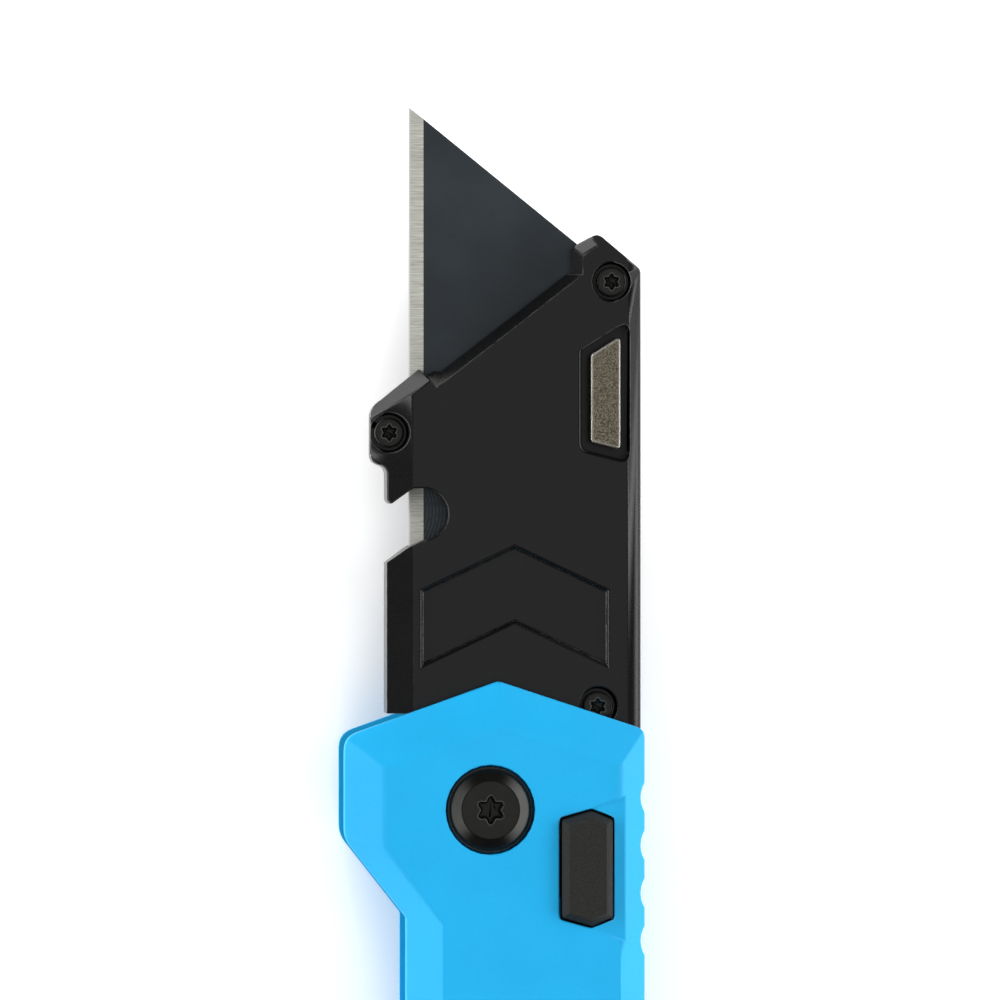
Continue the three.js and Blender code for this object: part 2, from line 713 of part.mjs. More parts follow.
// The release plate's outline, grown by `grow` all round.
function releaseOutline(grow, radius) {
  const width = plateRight - plateLeft;
  const [left, right] = [plateLeft - grow, plateRight + grow];
  const topSlope = plateTopFall / width;
  const bottomSlope = -plateBottomRise / width;
  const topLift = plateTopY + grow * Math.hypot(1, topSlope);
  const bottomLift = plateBottomY - grow * Math.hypot(1, bottomSlope);
  return outline([
    [left, topLift + (left - plateRight) * topSlope, radius],
    [right, topLift + (right - plateRight) * topSlope, radius],
    [right, bottomLift + (right - plateRight) * bottomSlope, radius],
    [left, bottomLift + (left - plateRight) * bottomSlope, radius],
  ]);
}

function chevronOutline() {
  const low = chevronPointY - chevronDrop;
  const middleX = (carrierLeft + carrierSpine) / 2;
  const [left, right] = [middleX - chevronHalfWidth, middleX + chevronHalfWidth];
  return outline([
    [left, low], [left, low - chevronHeight], [middleX, chevronPointY - chevronHeight],
    [right, low - chevronHeight], [right, low], [middleX, chevronPointY],
  ]);
}

function carrierFront() {
  const sinks = carrierScrews.map(({ at, sink }) => rod(
    carrierSinkRadius, carrierHalf - sink, carrierHalf + 1, at));
  const bores = carrierScrews.map(({ at }) => rod(
    carrierScrewShank + slip, -1, carrierHalf, at, 16));
  return cutAll(carrierBlank(1), [
    ...sinks,
    ...bores,
    plate(releaseOutline(recessGap, 0.9), recessFloor, carrierHalf + 1),
    rod(releaseStemRadius + slip, -1, carrierHalf, releaseStemAt, 16),
    plate(chevronOutline(), carrierHalf - chevronDepth, carrierHalf + 1),
  ]);
}

const carrierScrewTip = -carrierHalf + carrierScrewWall;

function carrierBack() {
  const bores = carrierScrews.map(({ at }) => rod(
    carrierScrewShank + slip, carrierScrewTip - slip, 1, at, 16));
  const floor = catchTop - catchThickness - releaseTravel - springGap;
  const rootY = catchScrewAt[1] + 2;
  const open = -carrierHalf - 1;
  const notchTop = -carrierHalf + tabEngagement + springGap;
  const notches = [lockAngle, lockAngle + 180].map((angle) => radialBlock(
    angle, tabInner - slip, tangRadius + 1, tabHalfWidth + slip, open, notchTop));
  return cutAll(carrierBlank(-1), [
    ...bores,
    box(catchX[0] - slip, catchX[1] + slip, rootY, catchY[1] + 0.3, floor, 1),
    box(catchX[0] - slip, catchX[1] + slip, catchY[0] - 0.3, rootY + 0.5,
      catchTop - catchThickness - seat, 1),
    rod(catchScrewShank + slip, carrierScrewTip - slip, 1, catchScrewAt, 16),
    ...notches,
  ]);
}

// ---------------------------------------------------------------- blade and its release

function blade() {
  const half = bladeThickness / 2;
  const middleY = bladeLowY + bladeLength / 2;
  const drop = (bladeThickness - bladeEdgeThickness) / 2;
  const grinds = [half, -half].map((face) => chamferCutter(
    [bladeEdgeX, bladeTipY], [bladeEdgeX, bladeLowY], bladeBevel, drop, face, 2, 2));
  const notches = [1, -1].map((way) => {
    const y = middleY + way * bladeNotchSpacing / 2;
    return box(bladeBackX - bladeNotchDepth, bladeBackX + 1,
      y - bladeNotchWidth / 2, y + bladeNotchWidth / 2, -1, 1);
  });
  return cutAll(plate(bladeOutline(0), -half, half), [...grinds, ...notches]);
}

function releaseButton() {
  const top = carrierHalf - plateSink;
  const body = plate(releaseOutline(0, 0.4), top - plateHeight, top);
  const stem = rod(releaseStemRadius, catchTop + seat, top - plateHeight + 0.2, releaseStemAt, 16);
  return body.add(stem);
}

function catchSpring() {
  const bottom = catchTop - catchThickness;
  const leaf = box(catchX[0], catchX[1], catchY[0], catchY[1], bottom, catchTop);
  const tooth = box(bladeBackX - bladeNotchDepth + 2 * slip, bladeBackX + seat,
    toothY - bladeNotchWidth / 2 + slip, toothY + bladeNotchWidth / 2 - slip,
    bottom + 0.1, bladeThickness / 2);
  const hole = rod(catchScrewShank + slip, bottom - 1, catchTop + 1, catchScrewAt, 16);
  return leaf.add(tooth).subtract(hole);
}

// ---------------------------------------------------------------- belt clip

function beltClip() {
  const face = -scaleOuter - seat;
  const under = face - clipThickness;
  const arm = -scaleOuter - clipReach;
  const armUnder = arm - clipThickness;
  const rootEnd = clipScrewYs[0] + 3.2;
  const armStart = rootEnd + 4;
  const toeY = clipEndY - 4;
  const armEnd = toeY - 4;
  const toe = -scaleOuter - springGap;
  const lip = toe - 1.2;
  const leaf = strip([
    [clipRootY, face], [rootEnd, face], [armStart, arm], [armEnd, arm], [toeY, toe],
    [clipEndY, lip], [clipEndY, lip - clipThickness], [toeY, toe - clipThickness],
    [armEnd, armUnder], [armStart, armUnder], [rootEnd, under], [clipRootY, under],
  ], clipX - clipWidth / 2, clipX + clipWidth / 2);
  const holes = clipScrewYs.map((y) => rod(
    smallShank + slip, face + 1, under - 1, [clipX, y], 20));
  return cutAll(leaf, holes);
}

// Button-head screw that points up into the back scale.
function clipScrew(y) {
  const headTop = -scaleOuter - clipThickness - 2 * seat;
  const headBottom = headTop - smallHeadThickness;
  const body = turned([
    [0, headBottom], [smallHead - 0.6, headBottom], [smallHead, headBottom + 0.35],
    [smallHead, headTop], [smallShank, headTop],
    [smallShank, -scaleInner - 0.8], [0, -scaleInner - 0.8],
  ], [clipX, y], 24);
  return body.subtract(driveSocket(
    smallDriveRadius, headBottom - 1, headBottom + 0.6, [clipX, y]));
}

// ---------------------------------------------------------------- assembly

addPiece('front_scale', frontScale(), paint);
addPiece('back_scale', backScale(), paint);
addPiece('spine_spacer', spineSpacer(), blackSteel);
addPiece('pivot_screw', pivotScrew(), blackSteel);
addPiece('pivot_nut', pivotNut(), blackSteel);
addPiece('front_washer', washer(1), bronze);
addPiece('back_washer', washer(-1), bronze);
handleScrewYs.forEach((y, i) => {
  const headBottom = scaleOuter - handleSinkDepth + seat;
  addPiece(`handle_screw_${i + 1}`, screw([handleScrewX, y], handleScrewHead, handleScrewShank,
    scaleOuter - 0.1, headBottom, screwTipZ, handleDriveRadius, handleScrewHead - 0.5), blackSteel);
});
addPiece('lock_button', lockButton(), plastic);
addPiece('lock_spring', lockSpring(), springSteel);
addPiece('lock_spring_screw', screw([lockSpringX, lockScrewY], smallHead, smallShank,
  rootTop + seat + smallHeadThickness, rootTop + seat, screwTipZ, smallDriveRadius,
  smallHead - 0.4), blackSteel);
addPiece('belt_clip', beltClip(), blackSteel);
clipScrewYs.forEach((y, i) => addPiece(`clip_screw_${i + 1}`, clipScrew(y), blackSteel));

addPiece('carrier_front', carrierFront(), coat);
addPiece('carrier_back', carrierBack(), coat);
carrierScrews.forEach(({ name, at, sink }) => {
  const headBottom = carrierHalf - sink + seat;
  addPiece(name, screw(at, carrierScrewHead, carrierScrewShank,
    headBottom + carrierScrewHeadThickness, headBottom, carrierScrewTip,
    carrierDriveRadius, carrierScrewHead - 0.25), blackSteel);
});
addPiece('catch_spring', catchSpring(), springSteel);
addPiece('catch_spring_screw', screw(catchScrewAt, catchScrewHead, catchScrewShank,
  catchTop + seat + catchScrewHeadThickness, catchTop + seat, carrierScrewTip, catchDriveRadius,
  catchScrewHead - 0.3), blackSteel);
addPiece('blade', blade(), bladeSteel);
addPiece('release_button', releaseButton(), nickel);

// The middle of the bottom of the bounding box is the origin.
const bounds = new THREE.Box3().setFromObject(knife);
const middle = bounds.getCenter(new THREE.Vector3());
knife.position.set(-middle.x, -middle.y, -bounds.min.z);

const group = new THREE.Group();
group.add(knife);

export default group;
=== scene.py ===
import json
import math

import bmesh
import bpy
from bpy.props import FloatProperty, FloatVectorProperty, PointerProperty
from mathutils import Matrix, Vector
from mathutils.bvhtree import BVHTree
from mathutils.geometry import intersect_point_line


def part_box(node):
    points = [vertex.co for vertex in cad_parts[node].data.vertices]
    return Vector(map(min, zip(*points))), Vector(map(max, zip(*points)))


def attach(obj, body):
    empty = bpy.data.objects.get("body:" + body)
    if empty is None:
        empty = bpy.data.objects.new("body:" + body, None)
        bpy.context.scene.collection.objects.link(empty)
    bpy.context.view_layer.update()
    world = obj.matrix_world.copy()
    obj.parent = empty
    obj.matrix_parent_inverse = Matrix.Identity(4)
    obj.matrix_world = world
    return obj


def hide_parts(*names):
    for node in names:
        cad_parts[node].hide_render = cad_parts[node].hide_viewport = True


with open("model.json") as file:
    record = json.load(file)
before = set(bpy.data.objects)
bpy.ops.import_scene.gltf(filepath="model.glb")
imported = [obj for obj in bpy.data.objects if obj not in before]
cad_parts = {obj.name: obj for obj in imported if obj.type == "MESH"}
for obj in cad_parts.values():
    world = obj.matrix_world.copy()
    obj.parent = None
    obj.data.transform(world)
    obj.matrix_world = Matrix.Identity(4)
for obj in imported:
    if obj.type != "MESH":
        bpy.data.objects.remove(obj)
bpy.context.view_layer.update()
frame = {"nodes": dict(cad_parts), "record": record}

bl_info = {
    "name": "Folding utility knife",
    "version": (1, 0, 0),
    "blender": (4, 5, 0),
    "location": "View3D > Sidebar > Knife",
    "description": "Finishes the folding utility knife on its packed frame and stages it",
    "category": "Object",
}

MM = 0.001
PIVOT = (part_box("pivot_screw")[0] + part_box("pivot_screw")[1]) / 2
FACE_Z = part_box("front_scale")[1].z
MIDDLE_Z = (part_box("blade")[0].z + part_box("blade")[1].z) / 2

# How meshes are made ready for edge work, and shaded after it
WELD = 0.12 * MM  # corners nearer than this become one
COPLANAR = math.radians(1.5)  # faces that turn by less become one
SMOOTH = 32  # edges that turn by fewer degrees are shaded smooth
SAME_HEIGHT = 0.02 * MM  # heights closer than this count as equal

# When a rounding is refused, and the edge stays sharp
STRAY = 0.33  # it leaves the old surface by more than this share of its width, and a little
STRAY_SLACK = 0.02 * MM
SLIDE = math.radians(12)  # a sharp neighbour lies at a smaller angle than this
CREASE = math.radians(3)  # or folds on from it, and turns by more than this
SLIVER = 1e-9  # twice the area of a triangle too thin to have a direction, in square metres
FACING = 0.3  # a triangle's direction times its face's is more than this, or it has folded
SMALL_FACE = 9  # a folded face with fewer corners blames them all
SPIKE = 0.5  # and a larger one those that are sharper than this, in radians
TRIES = 6  # rounds of sparing the edges at fault


def hex_colour(code):
    """Scene-linear RGB of a six-digit screen colour."""
    screen = [int(code[i:i + 2], 16) / 255 for i in (0, 2, 4)]
    return tuple(c / 12.92 if c <= 0.04045 else ((c + 0.055) / 1.055) ** 2.4 for c in screen)


def solid(colour):
    """RGB with full alpha, as a node's colour socket takes it."""
    return (*tuple(colour)[:3], 1.0)


# ---------------------------------------------------------------- sizes and colours


class KnifeSizes(bpy.types.PropertyGroup):
    """Edge work on the pieces."""

    scale_crease: FloatProperty(
        name="Scale crease", description="Rounding where a scale's face meets its chamfer",
        default=0.5 * MM, unit="LENGTH")
    scale_edge: FloatProperty(
        name="Scale edge", description="Rounding of a scale's rim and openings",
        default=0.15 * MM, unit="LENGTH")
    carrier_crease: FloatProperty(
        name="Carrier crease", description="Rounding where the carrier's face meets its chamfers",
        default=0.3 * MM, unit="LENGTH")
    carrier_edge: FloatProperty(
        name="Carrier edge", description="Rounding of the carrier's rim and openings",
        default=0.2 * MM, unit="LENGTH")
    chevron_edge: FloatProperty(
        name="Chevron edge", description="Rounding of the rim of the sunken chevron",
        default=0.4 * MM, unit="LENGTH")
    recess_edge: FloatProperty(
        name="Recess edge", description="Rounding of the mouth of the release plate's recess",
        default=0.6 * MM, unit="LENGTH")
    pivot_proud: FloatProperty(
        name="Pivot rise", description="How far the pivot's heads rise above their packed height",
        default=0.4 * MM, unit="LENGTH")
    screw_edge: FloatProperty(
        name="Screw edge", description="Rounding of a screw head's rim",
        default=0.09 * MM, unit="LENGTH")
    washer_edge: FloatProperty(
        name="Washer edge", description="Rounding of a washer's rims",
        default=0.08 * MM, unit="LENGTH")
    spacer_edge: FloatProperty(
        name="Spacer edge", description="Rounding of the spine spacer",
        default=0.15 * MM, unit="LENGTH")
    clip_edge: FloatProperty(
        name="Clip edge", description="Rounding of the belt clip",
        default=0.25 * MM, unit="LENGTH")
    button_edge: FloatProperty(
        name="Button edge", description="Rounding of the lock button's top",
        default=0.55 * MM, unit="LENGTH")
    plate_edge: FloatProperty(
        name="Plate edge", description="Rounding of the release plate's corners",
        default=0.45 * MM, unit="LENGTH")
    lock_leaf_edge: FloatProperty(
        name="Lock leaf edge", description="Rounding of the lock's leaf spring",
        default=0.08 * MM, unit="LENGTH")
    catch_leaf_edge: FloatProperty(
        name="Catch leaf edge", description="Rounding of the catch's leaf spring",
        default=0.06 * MM, unit="LENGTH")


class KnifeColours(bpy.types.PropertyGroup):
    """Colours of the finishes."""

    paint: FloatVectorProperty(
        name="Powder paint", description="Paint on the two scales",
        default=hex_colour("14b6f4"), size=3, subtype="COLOR", min=0, max=1)
    coat: FloatVectorProperty(
        name="Satin coat", description="Black coat on the blade carrier",
        default=hex_colour("0b0b0b"), size=3, subtype="COLOR", min=0, max=1)
    oxide: FloatVectorProperty(
        name="Black oxide", description="Screws, pivot and clip",
        default=hex_colour("363634"), size=3, subtype="COLOR", min=0, max=1)
    plate: FloatVectorProperty(
        name="Nickel", description="Blade release plate",
        default=hex_colour("958d7a"), size=3, subtype="COLOR", min=0, max=1)
    button: FloatVectorProperty(
        name="Button plastic", description="Lock button",
        default=hex_colour("2b2b29"), size=3, subtype="COLOR", min=0, max=1)
    blade: FloatVectorProperty(
        name="Blade coat", description="Dark coat on the blade's body",
        default=hex_colour("3c4247"), size=3, subtype="COLOR", min=0, max=1)
    ground: FloatVectorProperty(
        name="Ground steel", description="The blade's sharpened bevel",
        default=hex_colour("e2e2d8"), size=3, subtype="COLOR", min=0, max=1)


class KnifeStage(bpy.types.PropertyGroup):
    """Floor, light and camera."""

    floor_size: FloatProperty(
        name="Floor", description="Side of the floor", default=3.0, unit="LENGTH")
    right_light: FloatProperty(
        name="Right softbox", description="Power of the softbox on the right",
        default=3.4, unit="POWER")
    left_light: FloatProperty(
        name="Left softbox", description="Power of the softbox on the left",
        default=2.9, unit="POWER")
    surround: FloatProperty(
        name="Surround", description="Brightness of the bands on the room's side walls",
        default=4.4, min=0)
    ceiling: FloatProperty(
        name="Ceiling", description="Brightness of the room straight overhead",
        default=0.46, min=0)
    floor_glow: FloatProperty(
        name="Floor glow", description="Light that the open floor gives off itself",
        default=0.55, min=0)
    distance: FloatProperty(
        name="Camera height", description="From the front face to the lens",
        default=0.65, unit="LENGTH")
    sideways: FloatProperty(
        name="Camera offset", description="How far the camera stands to the left",
        default=0.054, unit="LENGTH")
    lens: FloatProperty(
        name="Lens", description="Focal length", default=234.0, unit="CAMERA")


# ---------------------------------------------------------------- finishes


class Wire:
    """A node's output. Python's operators on it add Math nodes."""

    def __init__(self, finish, socket):
        self.finish = finish
        self.socket = socket

    def maths(self, operation, *values):
        return self.finish.node("ShaderNodeMath", {"operation": operation},
                                dict(enumerate(values)))

    def __add__(self, other):
        return self.maths("ADD", self, other)

    __radd__ = __add__

    def __sub__(self, other):
        return self.maths("SUBTRACT", self, other)

    def __rsub__(self, other):
        return self.maths("SUBTRACT", other, self)

    def __mul__(self, other):
        return self.maths("MULTIPLY", self, other)

    __rmul__ = __mul__

    def __abs__(self):
        return self.maths("ABSOLUTE", self)

    def between(self, low, high):
        """0 below low, 1 above high, and a smooth ramp between them."""
        return self.finish.node("ShaderNodeMapRange", {"interpolation_type": "SMOOTHSTEP"},
                                {0: self, 1: low, 2: high, 3: 0.0, 4: 1.0})


class Graph:
    """A node tree under construction."""

    def __init__(self, owner):
        owner.use_nodes = True
        self.tree = owner.node_tree
        self.tree.nodes.clear()

    def node(self, kind, settings=None, inputs=None, output=0):
        """Adds a node: its settings first, then the values or links of its sockets."""
        made = self.tree.nodes.new(kind)
        for key, value in (settings or {}).items():
            setattr(made, key, value)
        for key, value in (inputs or {}).items():
            if isinstance(value, Wire):
                self.tree.links.new(value.socket, made.inputs[key])
            else:
                made.inputs[key].default_value = value
        return Wire(self, made.outputs[output])

    def close(self, kind, wire):
        """Adds the output node and links the shader to it."""
        self.tree.links.new(wire.socket, self.tree.nodes.new(kind).inputs["Surface"])


class Finish(Graph):
    """A material under construction, patterned by the piece's own coordinates."""

    def __init__(self, name):
        self.material = bpy.data.materials.new(name)
        super().__init__(self.material)
        self.place = self.node("ShaderNodeTexCoord", output="Object")

    def axis(self, letter):
        return self.node("ShaderNodeSeparateXYZ", None, {0: self.place}, letter)

    def noise(self, size, detail=2.0, roughness=0.5, stretch=None):
        """Noise whose lumps are about `size` across, stretched by a factor along each axis."""
        where = self.place
        if stretch:
            where = self.node("ShaderNodeMapping", None,
                              {"Vector": where, "Scale": tuple(1 / s for s in stretch)})
        return self.node("ShaderNodeTexNoise", None, {
            "Vector": where, "Scale": 1 / size, "Detail": detail, "Roughness": roughness})

    def cells(self, size):
        """Distance to the nearest of many scattered points."""
        return self.node("ShaderNodeTexVoronoi", None, {"Vector": self.place, "Scale": 1 / size})

    def mix(self, factor, first, second):
        return self.node("ShaderNodeMix", {"data_type": "RGBA", "clamp_factor": True}, {
            0: factor, 6: first if isinstance(first, Wire) else solid(first),
            7: second if isinstance(second, Wire) else solid(second)}, 2)

    def edges(self, radius, gain=6.0):
        """A mask that is 1 on edges, from how far a rounded normal leaves the true one."""
        rounded = self.node("ShaderNodeBevel", {"samples": 4}, {"Radius": radius})
        true = self.node("ShaderNodeNewGeometry", output="Normal")
        same = self.node("ShaderNodeVectorMath", {"operation": "DOT_PRODUCT"},
                         {0: rounded, 1: true}, "Value")
        return ((1.0 - same) * gain).between(0.05, 1.0)

    def bump(self, height, depth):
        """A normal bent by a height from 0 to 1, which stands for the depth given."""
        return self.node("ShaderNodeBump", None, {
            "Height": height, "Distance": depth, "Strength": 1.0})

    def done(self, **sockets):
        """Closes the material with its shader, whose sockets are given by name."""
        shader = self.node("ShaderNodeBsdfPrincipled", None, {
            name.replace("_", " "): value for name, value in sockets.items()})
        self.close("ShaderNodeOutputMaterial", shader)
        return self.material


def powder_paint(colour):
    """Matt powder paint: a fine orange peel, slow changes of shade and paler worn edges."""
    f = Finish("blue_powder_paint")
    colour = Vector(colour)
    patches = f.noise(9 * MM, 3.0)
    peel = f.noise(0.45 * MM, 2.0)
    dust = f.noise(0.12 * MM, 1.0)
    worn = f.edges(0.35 * MM) * f.noise(1.6 * MM, 3.0).between(0.5, 0.68)
    shade = f.mix(patches.between(0.3, 0.7), colour * 0.96, colour * 1.03)
    shade = f.mix(dust.between(0.35, 0.8) * 0.06, shade, colour * 0.5 + Vector((0.2, 0.42, 0.5)))
    shade = f.mix(worn * 0.45, shade, Vector((0.19, 0.55, 0.86)))
    rough = 0.5 + 0.09 * peel + 0.05 * patches
    return f.done(Base_Color=shade, Roughness=rough, Normal=f.bump(peel + 0.35 * dust, 0.018 * MM))


def satin_coat(colour):
    """Satin black coat over a die casting, finely grained, with rubbed edges."""
    f = Finish("satin_black_coat")
    colour = Vector(colour)
    patches = f.noise(5 * MM, 3.0)
    grain = f.noise(0.14 * MM, 2.0, 0.6)
    rubbed = f.edges(0.16 * MM, 8.0) * f.noise(0.9 * MM, 3.0).between(0.3, 0.6)
    shade = f.mix(patches.between(0.3, 0.7), colour * 0.9, colour * 1.1)
    shade = f.mix(grain.between(0.45, 0.75) * 0.35, shade, colour * 1.9)
    shade = f.mix(rubbed * 0.6, shade, Vector((0.2, 0.195, 0.185)))
    rough = 0.24 + 0.05 * grain + 0.03 * patches
    return f.done(Base_Color=shade, Roughness=rough, Specular_IOR_Level=0.5,
                  Normal=f.bump(grain, 0.007 * MM))


def black_oxide(colour):
    """Oiled black oxide on steel, thin and pale on some of its edges."""
    f = Finish("black_oxide_steel")
    colour = Vector(colour)
    patches = f.noise(1.2 * MM, 3.0)
    grain = f.noise(0.1 * MM, 2.0)
    bare = f.edges(0.2 * MM, 8.0) * f.noise(0.5 * MM, 3.0).between(0.25, 0.5)
    shade = f.mix(patches.between(0.35, 0.7), colour * 0.94, colour * 1.06)
    shade = f.mix(bare * 0.55, shade, Vector((0.4, 0.39, 0.37)))
    return f.done(Base_Color=shade, Roughness=0.22 + 0.05 * patches, Metallic=0.85,
                  Normal=f.bump(grain, 0.006 * MM))


def blade_steel(coat, ground):
    """A coated blade: dark body, bright ground bevel with cross lines, and a honed edge painted
    near-white as a painted highlight.
    """
    f = Finish("blade_steel")
    coat, ground = Vector(coat), Vector(ground)
    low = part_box("blade")[0]
    across, along = f.axis("X"), f.axis("Y")
    bevel_end = low.x + 1.5 * MM
    on_bevel = 1.0 - across.between(bevel_end - 0.05 * MM, bevel_end + 0.03 * MM)
    # painted highlight: the honed strip along the edge is painted near-white; it is also smoother
    honed_and_highlight = 1.0 - across.between(low.x + 0.13 * MM, low.x + 0.2 * MM)
    lines = f.noise(0.13 * MM, 3.0, 0.65, stretch=(20, 1, 20))
    broad = f.noise(0.9 * MM, 2.0, 0.6, stretch=(12, 1, 12))
    stain = f.noise(0.8 * MM, 3.0).between(0.62, 0.8)
    steel = f.mix(lines.between(0.3, 0.7), ground * 0.72, ground * 1.15)
    steel = f.mix(broad.between(0.4, 0.75) * 0.35, steel, ground * 0.6)
    steel = f.mix(honed_and_highlight, steel, Vector((0.95, 0.95, 0.94)))
    cloud = f.noise(11 * MM, 3.0)
    grain = f.noise(0.12 * MM, 2.0, 0.6, stretch=(1, 6, 1))
    body = f.mix(cloud.between(0.3, 0.7), coat * 0.85, coat * 1.15)
    body = f.mix(stain * 0.3, body, coat * 0.5)
    # faint arcs scored by the strap notch, about a point beside the honed edge
    centre = Vector((low.x - 3.2 * MM, low.y + 19.2 * MM, 0))
    arcs = f.node("ShaderNodeTexWave", {"wave_type": "RINGS", "rings_direction": "Z"}, {
        "Vector": f.node("ShaderNodeMapping", None, {"Vector": f.place, "Location": -centre}),
        "Scale": 900.0, "Distortion": 1.2, "Detail": 1.0, "Detail Scale": 300.0}, "Fac")
    scored = arcs.between(0.5, 0.9) * f.noise(0.9 * MM, 2.0).between(0.3, 0.5)
    scored = scored * (1.0 - along.between(centre.y + 7 * MM, centre.y + 9 * MM))
    body = f.mix(scored * 0.5, body, coat * 2.6)
    shade = f.mix(on_bevel, body, steel)
    rough = 0.34 + 0.1 * grain + on_bevel * (0.02 + 0.12 * lines) - honed_and_highlight * 0.1
    height = grain * 0.25 * (1.0 - on_bevel) + lines * on_bevel
    return f.done(Base_Color=shade, Roughness=rough, Metallic=0.55,
                  Normal=f.bump(height, 0.01 * MM))


def nickel(colour):
    """Cast nickel with a coarse grain of dark and light specks, rims rubbed smoother, and a
    painted highlight of near-white on every rim.
    """
    f = Finish("grained_nickel")
    colour = Vector(colour)
    grain = f.noise(0.15 * MM, 3.0, 0.7)
    pits = f.cells(0.17 * MM)
    # painted highlight: every rim is mixed towards near-white below; the rims are also made
    # smoother
    rim = f.edges(0.3 * MM, 24.0)
    shade = f.mix(grain.between(0.38, 0.64), colour * 0.45, colour * 1.5)
    shade = f.mix(rim, shade, Vector((1.0, 0.98, 0.93)))
    return f.done(Base_Color=shade, Roughness=0.42 + 0.15 * grain - 0.12 * rim, Metallic=0.9,
                  Normal=f.bump((grain + 0.5 * pits) * (1.0 - rim), 0.045 * MM))


def moulded_plastic(colour):
    """Spark-textured black plastic, a little polished on its rims."""
    f = Finish("textured_plastic")
    colour = Vector(colour)
    texture = f.noise(0.16 * MM, 3.0, 0.6)
    patches = f.noise(1.6 * MM, 2.0)
    rim = f.edges(0.2 * MM)
    shade = f.mix(texture.between(0.35, 0.7), colour * 0.8, colour * 1.25)
    shade = f.mix(rim * 0.3, shade, colour * 1.5)
    return f.done(Base_Color=shade, Roughness=0.65 + 0.1 * patches - 0.05 * rim,
                  Specular_IOR_Level=0.28,
                  Normal=f.bump(texture, 0.03 * MM))


def rolled_metal(name, colour, along, tarnish):
    """Rolled sheet metal with its grain along one axis and a patchy tarnish."""
    f = Finish(name)
    colour = Vector(colour)
    grain = f.noise(0.12 * MM, 3.0, 0.6, stretch=along)
    patches = f.noise(3 * MM, 4.0)
    worn = f.edges(0.15 * MM)
    shade = f.mix(patches.between(0.35, 0.75), colour, colour * tarnish)
    shade = f.mix(worn * 0.6, shade, colour * 1.3)
    return f.done(Base_Color=shade, Roughness=0.26 + 0.18 * patches + 0.06 * grain, Metallic=0.95,
                  Normal=f.bump(grain, 0.006 * MM))


# ---------------------------------------------------------------- shaping


class Shaping:
    """Edit mode on one piece, with its parts picked by place or direction."""

    KINDS = {"VERT": "verts", "FACE": "faces"}
    UPRIGHT = 0.9  # a normal's part along z, over which its face counts as level
    SLACK = 0.004 * MM

    def __init__(self, piece):
        self.piece = piece

    def __enter__(self):
        take(self.piece)
        bpy.ops.object.mode_set(mode="EDIT")
        return self

    def __exit__(self, *_):
        bpy.ops.object.mode_set(mode="OBJECT")

    def pick(self, kind, rule):
        """Selects what the rule holds for, which has to be something."""
        bpy.ops.mesh.select_mode(type=kind)
        bpy.ops.mesh.select_all(action="DESELECT")
        mesh = bmesh.from_edit_mesh(self.piece.data)
        found = [part for part in getattr(mesh, self.KINDS[kind]) if rule(part)]
        for part in found:
            part.select_set(True)
        mesh.select_flush_mode()
        bmesh.update_edit_mesh(self.piece.data)
        if not found:
            raise RuntimeError(f"{self.piece.name}: nothing to pick")

    def cap(self, z, up=True):
        """The face or faces that lie at height z and face up, or down."""
        sign = 1 if up else -1
        self.pick("FACE", lambda face: face.normal.z * sign > self.UPRIGHT
                  and abs(face.calc_center_median().z - z) < self.SLACK)

    def inset(self, width, rise=0.0):
        """Draws a border inside what is picked, and lifts what it encloses."""
        bpy.ops.mesh.inset(thickness=width, depth=0, use_even_offset=True)
        if rise:
            bpy.ops.transform.translate(value=(0, 0, rise))

    def draw(self, rise):
        """Pulls what is picked up or down, with walls behind it."""
        bpy.ops.mesh.extrude_region_move(TRANSFORM_OT_translate={"value": (0, 0, rise)})


def take(piece):
    """Makes a piece the only one selected, and the active one."""
    bpy.ops.object.select_all(action="DESELECT")
    piece.hide_set(False)
    piece.select_set(True)
    bpy.context.view_layer.objects.active = piece


def apply(piece, kind, **settings):
    """Adds a modifier to a piece and applies it."""
    take(piece)
    made = piece.modifiers.new(kind.lower(), kind)
    for key, value in settings.items():
        setattr(made, key, value)
    bpy.ops.object.modifier_apply(modifier=made.name)


def settle(piece, material, body, slot, *nodes):
    """Gives a finished piece its material and its body, and hides the nodes it stands for; the
    slot is not used.
    """
    piece.data.materials.clear()
    piece.data.materials.append(material)
    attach(piece, body)
    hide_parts(*nodes)


def cast_from(node, name):
    """A merged copy of a node's mesh with its flat faces joined, ready for edge work."""
    source = frame["nodes"][node]
    piece = bpy.data.objects.new(name, source.data.copy())
    bpy.context.scene.collection.objects.link(piece)
    with Shaping(piece):
        bpy.ops.mesh.select_all(action="SELECT")
        bpy.ops.mesh.remove_doubles(threshold=WELD)
        bpy.ops.mesh.dissolve_limited(angle_limit=COPLANAR)
    return piece


def spare_slides(mesh, weight):
    """Keeps an edge sharp where its rounding would slide along a sharp neighbour."""
    changed = True
    while changed:
        changed = False
        for vert in mesh.verts:
            for edge in vert.link_edges:
                if edge[weight] > 0 and slides(vert, edge, weight):
                    edge[weight] = 0.0
                    changed = True


def slides(vert, edge, weight):
    """Whether at this end a sharp neighbour lies beside the edge, or folds on from it."""
    way = edge.other_vert(vert).co - vert.co
    for face in edge.link_faces:
        beside = next(e for e in face.edges if e is not edge and vert in e.verts)
        turn = way.angle(beside.other_vert(vert).co - vert.co, 0.0)
        folded = len(beside.link_faces) == 2 and beside.calc_face_angle(0.0) > CREASE
        if beside[weight] == 0 and (turn < SLIDE or (turn > math.pi - SLIDE and folded)):
            return True
    return False


